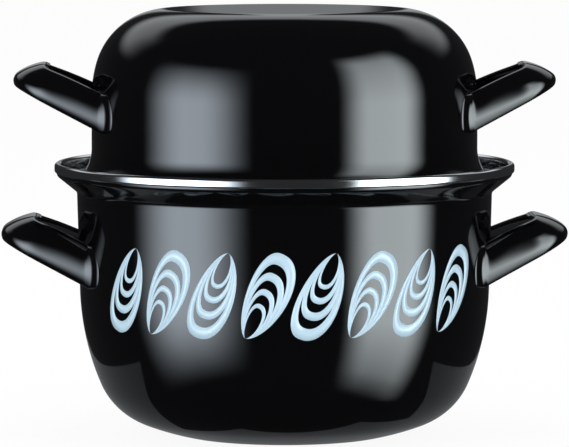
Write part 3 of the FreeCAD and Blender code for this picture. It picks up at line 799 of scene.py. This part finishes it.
def studio_material(levels):
    """Dark studio round the pot, with a tall softbox on each side in front, and paler windows behind.

    Each window is a product of ramps over the angle round the pot and the angle above the table, in degrees.
    """
    material = bpy.data.materials.new("studio_walls")
    material.use_nodes = True
    nodes = material.node_tree.nodes
    nodes.clear()
    place = nodes.new("ShaderNodeTexCoord")
    split = nodes.new("ShaderNodeSeparateXYZ")
    material.node_tree.links.new(place.outputs["Object"], split.inputs["Vector"])
    x, y, z = split.outputs
    flat = calculated(material, "POWER", calculated(
        material, "ADD", product(material, x, x), product(material, y, y)), 0.5)
    height = calculated(material, "ARCTAN2", z, flat)
    front = calculated(material, "MULTIPLY", y, -1.0)
    round_right = calculated(material, "ARCTAN2", x, front)
    round_left = calculated(material, "MULTIPLY", round_right, -1.0)
    off_front = calculated(material, "ABSOLUTE", round_right)
    round_back = calculated(material, "ARCTAN2", x, y)
    off_back = calculated(material, "ABSOLUTE", calculated(material, "SUBTRACT", round_back, VIEW_TURN))
    left = product(material, ramp(material, round_left, 19, 54), ramp(material, round_left, 95, 62),
                   ramp(material, height, 36, -2), ramp(material, height, -40, -8), levels.left_softbox)
    right = product(material, ramp(material, round_right, 30, 50), ramp(material, round_right, 92, 72),
                    ramp(material, height, 50, 34), ramp(material, height, 40, 0, 0.5, 1, False),
                    ramp(material, height, -46, -34), ramp(material, height, -38, -14, 0.3, 1, False),
                    levels.right_softbox)
    # A strip high behind lights the lid's shoulder
    strip = product(material, ramp(material, off_front, 112, 145), ramp(material, height, 18, 27),
                    ramp(material, height, 47, 38), levels.back_strip)
    # A pale sweep low behind lights the lid's top, with a narrow slot in its middle
    sweep = product(material, ramp(material, off_back, 9, 4), ramp(material, off_back, 1.5, 2.2),
                    ramp(material, height, 12, 6), ramp(material, height, -5, -2), levels.sweep)
    slot = product(material, ramp(material, off_back, 1.3, 0.9), ramp(material, height, 27, 18),
                   ramp(material, height, 3, 24, 0.2, 0.8, False), ramp(material, height, -5, -2))
    behind = levels.ambient
    for window in (strip, sweep, slot):
        behind = calculated(material, "ADD", behind, window)
    sum_of_glows(material, ((left, (0.80, 0.90, 1.0)), (right, (0.88, 0.97, 1.0)),
                            (behind, (0.93, 0.97, 1.0))))
    return material


def sum_of_glows(material, glows):
    """Adds up glows of several strengths and colours, as the material's surface."""
    nodes = material.node_tree.nodes
    links = material.node_tree.links
    output = nodes.new("ShaderNodeOutputMaterial")
    shaders = []
    for strength, colour in glows:
        glow = nodes.new("ShaderNodeEmission")
        glow.inputs["Color"].default_value = (*colour, 1)
        links.new(strength, glow.inputs["Strength"])
        shaders.append(glow.outputs["Emission"])
    while len(shaders) > 1:
        both = nodes.new("ShaderNodeAddShader")
        links.new(shaders.pop(), both.inputs[0])
        links.new(shaders.pop(), both.inputs[1])
        shaders.append(both.outputs["Shader"])
    links.new(shaders[0], output.inputs["Surface"])


def floor_material(glow):
    """Matt white, which also glows to the camera."""
    material, shader = new_material("floor_white")
    nodes = material.node_tree.nodes
    links = material.node_tree.links
    shader.inputs["Base Color"].default_value = (0.95, 0.95, 0.95, 1)
    shader.inputs["Roughness"].default_value = 0.9
    shader.inputs["Specular IOR Level"].default_value = 0.1
    path = nodes.new("ShaderNodeLightPath")
    white = nodes.new("ShaderNodeEmission")
    mix = nodes.new("ShaderNodeMixShader")
    share = calculated(material, "MULTIPLY", path.outputs["Is Camera Ray"], glow)
    links.new(share, mix.inputs["Fac"])
    links.new(shader.outputs["BSDF"], mix.inputs[1])
    links.new(white.outputs["Emission"], mix.inputs[2])
    links.new(mix.outputs["Shader"], nodes["Material Output"].inputs["Surface"])
    return material


def glowing_material(name, colour, strength):
    """An even glow, for a card that shows in reflections alone."""
    material = bpy.data.materials.new(name)
    material.use_nodes = True
    nodes = material.node_tree.nodes
    nodes.clear()
    light = nodes.new("ShaderNodeEmission")
    light.inputs["Color"].default_value = (*colour, 1)
    light.inputs["Strength"].default_value = strength
    output = nodes.new("ShaderNodeOutputMaterial")
    material.node_tree.links.new(light.outputs["Emission"], output.inputs["Surface"])
    return material


def reflected_only(card):
    """A studio card that shows in reflections alone."""
    card.visible_camera = False
    card.visible_diffuse = False
    card.visible_shadow = False
    card.visible_transmission = False
    card.visible_volume_scatter = False


def make_floor():
    """White floor that the pot stands on."""
    bm = bmesh.new()
    bmesh.ops.create_grid(bm, x_segments=1, y_segments=1, size=12)
    floor = finished(bm, "floor", floor_material(0.93))
    # The enamel reflects the glowing table card, a painted reflection of the table, in place of the floor
    floor.visible_glossy = False
    return floor


def make_walls(levels):
    """The studio's walls, as a large ball round the pot."""
    bm = bmesh.new()
    bmesh.ops.create_uvsphere(bm, u_segments=48, v_segments=24, radius=30)
    walls = finished(bm, "studio_walls", studio_material(levels))
    reflected_only(walls)
    return walls


def make_table_card(levels):
    """Painted reflection of the lit table: a glowing card that the enamel reflects in place of the floor, a
    patch under the pot, and a strip that runs back.
    """
    bm = bmesh.new()
    bmesh.ops.create_grid(bm, x_segments=1, y_segments=1, size=0.5)
    bmesh.ops.scale(bm, vec=(0.34, 0.75, 1), verts=bm.verts)
    bmesh.ops.translate(bm, vec=(0, 0.325, 0), verts=bm.verts)
    near = bmesh.ops.create_circle(bm, cap_ends=True, segments=8, radius=0.0828,
                                   matrix=Matrix.Rotation(math.pi / 8, 4, "Z"))["verts"]
    bmesh.ops.scale(bm, vec=(1.1, 1, 1), verts=near)
    bmesh.ops.translate(bm, vec=(0.008, 0, -0.1 * MM), verts=near)
    bmesh.ops.translate(bm, vec=(0, 0, -0.2 * MM), verts=bm.verts)
    # The card glows evenly, standing in for the lit table: painted reflection
    table = finished(bm, "table_card", glowing_material("table_reflection_glow", (0.90, 0.96, 1.0), levels.table))
    reflected_only(table)
    return table


def make_lamps(scene):
    """Area lamps that light matt surfaces, and don't show in the enamel."""
    for name, place, power in (("left_light", (-1.3, -1.2, 1.2), 9), ("right_light", (1.3, -1.2, 1.2), 9),
                               ("top_light", (0, 0.1, 1.9), 8)):
        lamp = bpy.data.lights.new(name, "AREA")
        lamp.shape = "RECTANGLE"
        lamp.size = 0.9
        lamp.size_y = 1.2
        lamp.energy = power
        light = bpy.data.objects.new(name, lamp)
        light.location = place
        light.rotation_euler = (Vector((0, 0, 0.1)) - light.location).to_track_quat("-Z", "Y").to_euler()
        light.visible_glossy = False
        light.visible_camera = False
        scene.collection.objects.link(light)


def make_world(scene, fill):
    """White surroundings, dimmed where they light matt surfaces."""
    world = bpy.data.worlds.new("studio")
    scene.world = world
    world.use_nodes = True
    nodes = world.node_tree.nodes
    links = world.node_tree.links
    path = nodes.new("ShaderNodeLightPath")
    seen = calculated(world, "ADD", path.outputs["Is Camera Ray"],
                      calculated(world, "ADD", path.outputs["Is Glossy Ray"],
                                 path.outputs["Is Transmission Ray"]))
    strength = nodes.new("ShaderNodeMapRange")
    strength.inputs["To Min"].default_value = fill
    strength.inputs["To Max"].default_value = 1.0
    links.new(seen, strength.inputs["Value"])
    background = nodes["Background"]
    background.inputs["Color"].default_value = (1, 1, 1, 1)
    links.new(strength.outputs["Result"], background.inputs["Strength"])


def make_camera(scene):
    """Long lens a little above the pot's middle, looking slightly down."""
    camera = bpy.data.cameras.new("camera")
    camera.lens = VIEW_LENS
    camera.sensor_width = 36
    camera.clip_end = 60
    view = bpy.data.objects.new("camera", camera)
    view.location = (-VIEW_DISTANCE * math.sin(VIEW_TURN), -VIEW_DISTANCE * math.cos(VIEW_TURN), VIEW_HEIGHT)
    view.rotation_euler = (math.radians(90 - VIEW_DROP), 0, -VIEW_TURN)
    scene.collection.objects.link(view)
    scene.camera = view


class MUSSEL_OT_studio(bpy.types.Operator):
    """Set up the floor, the lights and the camera"""
    bl_idname = "mussel.studio"
    bl_label = "Studio"

    def execute(self, context):
        scene = context.scene
        levels = scene.studio_levels
        floor = make_floor()
        walls = make_walls(levels)
        table = make_table_card(levels)
        make_lamps(scene)
        make_world(scene, levels.fill)
        make_camera(scene)
        scene.view_settings.view_transform = "Standard"
        return {"FINISHED"}


class MUSSEL_PT_pieces(bpy.types.Panel):
    """Lists the mussel pot's pieces"""
    bl_label = "Mussel Pot"
    bl_idname = "MUSSEL_PT_pieces"
    bl_space_type = "VIEW_3D"
    bl_region_type = "UI"
    bl_category = "Mussel Pot"

    def draw(self, context):
        for operator in OPERATORS:
            self.layout.operator(operator.bl_idname)
        for group in GROUPS:
            settings = getattr(context.scene, group)
            for name in settings.__annotations__:
                self.layout.prop(settings, name)


OPERATORS = (MUSSEL_OT_studio, MUSSEL_OT_pot, MUSSEL_OT_rim_band, MUSSEL_OT_lid, MUSSEL_OT_pot_handles,
             MUSSEL_OT_lid_handles, MUSSEL_OT_ornament)
GROUPS = {"pot_sizes": PotSizes, "lid_sizes": LidSizes, "handle_sizes": HandleSizes,
          "ornament_sizes": OrnamentSizes, "finishes": Finishes, "studio_levels": StudioLevels}


def register():
    for group in GROUPS.values():
        bpy.utils.register_class(group)
    for name, group in GROUPS.items():
        setattr(bpy.types.Scene, name, PointerProperty(type=group))
    for operator in OPERATORS:
        bpy.utils.register_class(operator)
    bpy.utils.register_class(MUSSEL_PT_pieces)


def unregister():
    bpy.utils.unregister_class(MUSSEL_PT_pieces)
    for operator in reversed(OPERATORS):
        bpy.utils.unregister_class(operator)
    for name, group in GROUPS.items():
        delattr(bpy.types.Scene, name)
        bpy.utils.unregister_class(group)


def main():
    """Builds the whole pot in its studio."""
    register()
    bpy.ops.mussel.studio()
    bpy.ops.mussel.pot()
    bpy.ops.mussel.rim_band()
    bpy.ops.mussel.lid()
    bpy.ops.mussel.pot_handles()
    bpy.ops.mussel.lid_handles()
    bpy.ops.mussel.ornament()


if __name__ == "__main__":
    main()
